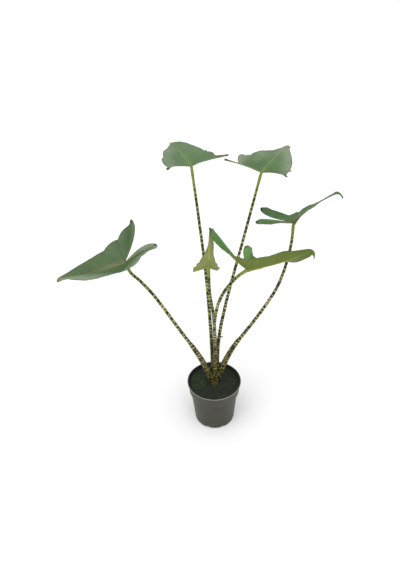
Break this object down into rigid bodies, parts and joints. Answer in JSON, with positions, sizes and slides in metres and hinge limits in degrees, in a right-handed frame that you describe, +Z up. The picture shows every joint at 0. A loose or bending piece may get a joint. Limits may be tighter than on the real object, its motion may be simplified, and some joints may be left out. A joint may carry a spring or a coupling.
{
  "type": "potted alocasia",
  "caption": "Tall zebra-stemmed elephant's ear houseplant: arrow-shaped leaves on long banded stalks, in a round nursery pot that stands on a floor or a table.",
  "frame": {"origin": "middle of the pot's flat base, on the surface that it stands on", "axes": "+Z up, +X to the right in the front view, +Y away from the front"},
  "size_m": [0.7104, 0.371, 0.8663],
  "materials": {
    "pot": "satin, slightly ribbed moulded plastic",
    "soil": "damp crumbly potting soil, with moss",
    "stalk": "satin, banded dark brown",
    "blade": "satin leaf",
    "young_blade": "satin young leaf"
  },
  "bodies": {
    "root": {"pot": "pot", "soil": "soil", "crown": "stalk", "stalk_left": "stalk", "stalk_back_left": "stalk", "stalk_back_right": "stalk", "stalk_young": "stalk", "stalk_right": "stalk", "stalk_front": "stalk", "blade_left": "blade", "blade_back_left": "blade", "blade_back_right": "blade", "blade_young": "young_blade", "blade_right": "blade", "blade_front": "blade"}
  },
  "joints": []
}
